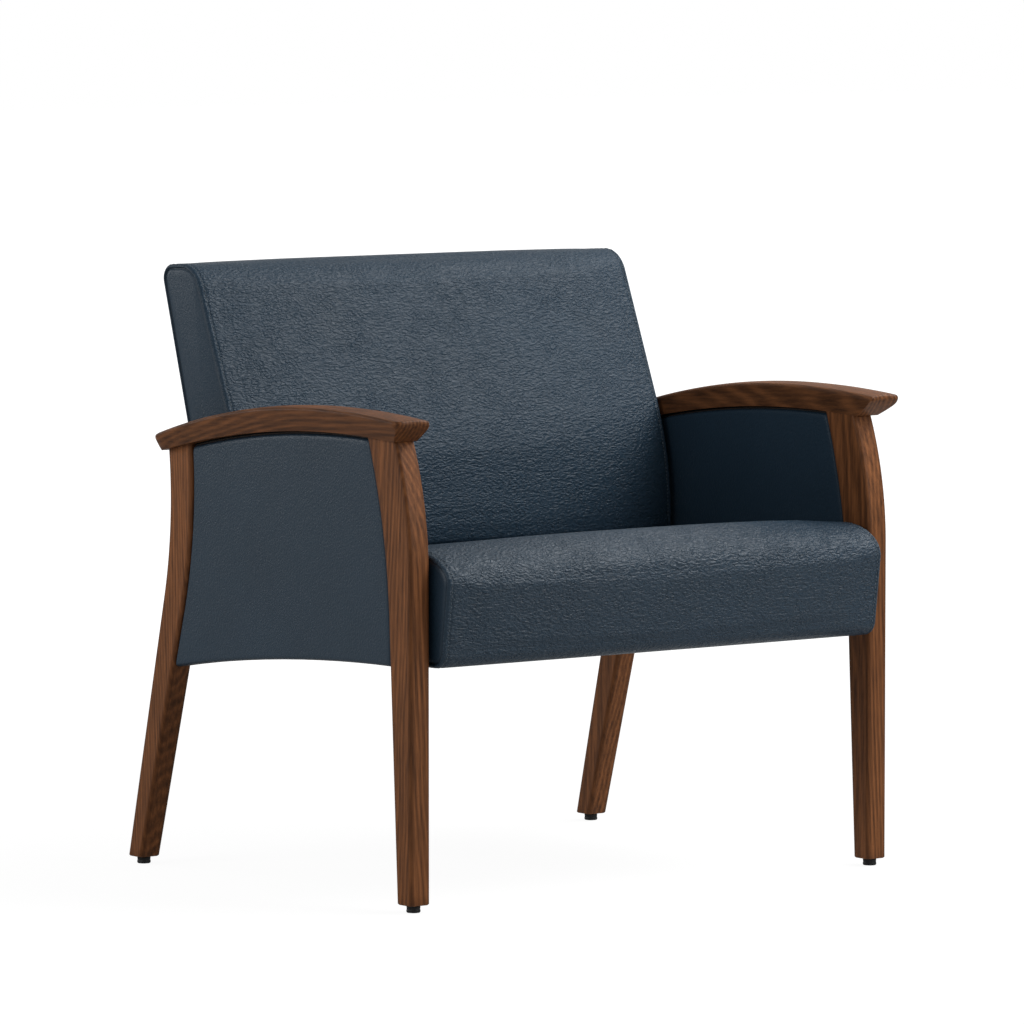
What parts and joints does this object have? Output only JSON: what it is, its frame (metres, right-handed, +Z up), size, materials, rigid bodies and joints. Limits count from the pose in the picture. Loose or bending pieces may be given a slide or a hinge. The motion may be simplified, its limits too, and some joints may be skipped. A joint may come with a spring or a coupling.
{
  "type": "bariatric chair",
  "caption": "Extra-wide guest chair with wooden legs and arched arm caps, upholstered side panels, boxed seat and reclined back, on levelling glides.",
  "frame": {"origin": "on the floor, in the middle of the chair's width and overall depth", "axes": "+Z up, +X to the sitter's left, seen from the front the right-hand side, and the chair faces -Y"},
  "size_m": [0.872, 0.7018, 0.8404],
  "materials": {
    "wood": "satin walnut-stained hardwood",
    "core_wood": "raw birch plywood and beech",
    "vinyl": "slate blue grained coated fabric",
    "foam": "open-cell polyurethane foam",
    "lining": "black non-woven lining",
    "steel": "zinc-plated steel",
    "glide": "black nylon"
  },
  "bodies": {
    "chair": {"front_leg_left": "wood", "front_leg_right": "wood", "rear_leg_left": "wood", "rear_leg_right": "wood", "arm_cap_left": "wood", "arm_cap_right": "wood", "panel_core_left": "core_wood", "panel_core_right": "core_wood", "outer_pad_left": "vinyl", "outer_pad_right": "vinyl", "inner_pad_left": "vinyl", "inner_pad_right": "vinyl", "seat_front_rail": "core_wood", "seat_rear_rail": "core_wood", "seat_side_rail_left": "core_wood", "seat_side_rail_right": "core_wood", "seat_centre_tube": "steel", "corner_blocks": "core_wood", "seat_deck": "core_wood", "seat_foam": "foam", "seat_cover": "vinyl", "dust_cover": "lining", "back_stile_left": "core_wood", "back_stile_right": "core_wood", "back_top_rail": "core_wood", "back_bottom_rail": "core_wood", "back_board": "core_wood", "rear_board": "core_wood", "back_foam": "foam", "back_cover": "vinyl", "cap_dowels": "core_wood", "panel_dowels": "core_wood", "frame_bolts": "steel", "bolt_washers": "steel", "spacer_bushes": "steel", "leg_inserts": "steel", "panel_inserts": "steel", "glide_inserts": "steel"},
    "glide_front_left": {"glide_pad_front_left": "glide"},
    "stem_front_left": {"glide_stem_front_left": "steel"},
    "glide_front_right": {"glide_pad_front_right": "glide"},
    "stem_front_right": {"glide_stem_front_right": "steel"},
    "glide_rear_left": {"glide_pad_rear_left": "glide"},
    "stem_rear_left": {"glide_stem_rear_left": "steel"},
    "glide_rear_right": {"glide_pad_rear_right": "glide"},
    "stem_rear_right": {"glide_stem_rear_right": "steel"}
  },
  "joints": [
    {"name": "glide_front_left_travel", "type": "slide", "parent": "chair", "child": "glide_front_left", "axis": [0, 0, -1], "range_m": [0, 0.01]},
    {"name": "glide_front_left_turn", "type": "hinge", "parent": "glide_front_left", "child": "stem_front_left", "pos_m": [-0.3965, -0.297, 0.02], "axis": [0, 0, 1], "range_deg": [0, 2880]},
    {"name": "glide_front_right_travel", "type": "slide", "parent": "chair", "child": "glide_front_right", "axis": [0, 0, -1], "range_m": [0, 0.01]},
    {"name": "glide_front_right_turn", "type": "hinge", "parent": "glide_front_right", "child": "stem_front_right", "pos_m": [0.3965, -0.297, 0.02], "axis": [0, 0, 1], "range_deg": [0, 2880]},
    {"name": "glide_rear_left_travel", "type": "slide", "parent": "chair", "child": "glide_rear_left", "axis": [0, 0, -1], "range_m": [0, 0.01]},
    {"name": "glide_rear_left_turn", "type": "hinge", "parent": "glide_rear_left", "child": "stem_rear_left", "pos_m": [-0.3965, 0.335, 0.02], "axis": [0, 0, 1], "range_deg": [0, 2880]},
    {"name": "glide_rear_right_travel", "type": "slide", "parent": "chair", "child": "glide_rear_right", "axis": [0, 0, -1], "range_m": [0, 0.01]},
    {"name": "glide_rear_right_turn", "type": "hinge", "parent": "glide_rear_right", "child": "stem_rear_right", "pos_m": [0.3965, 0.335, 0.02], "axis": [0, 0, 1], "range_deg": [0, 2880]}
  ],
  "couplings": [
    {"joint": "glide_front_left_turn", "follows": "glide_front_left_travel", "rad_per_m": 5026.5},
    {"joint": "glide_front_right_turn", "follows": "glide_front_right_travel", "rad_per_m": 5026.5},
    {"joint": "glide_rear_left_turn", "follows": "glide_rear_left_travel", "rad_per_m": 5026.5},
    {"joint": "glide_rear_right_turn", "follows": "glide_rear_right_travel", "rad_per_m": 5026.5}
  ]
}
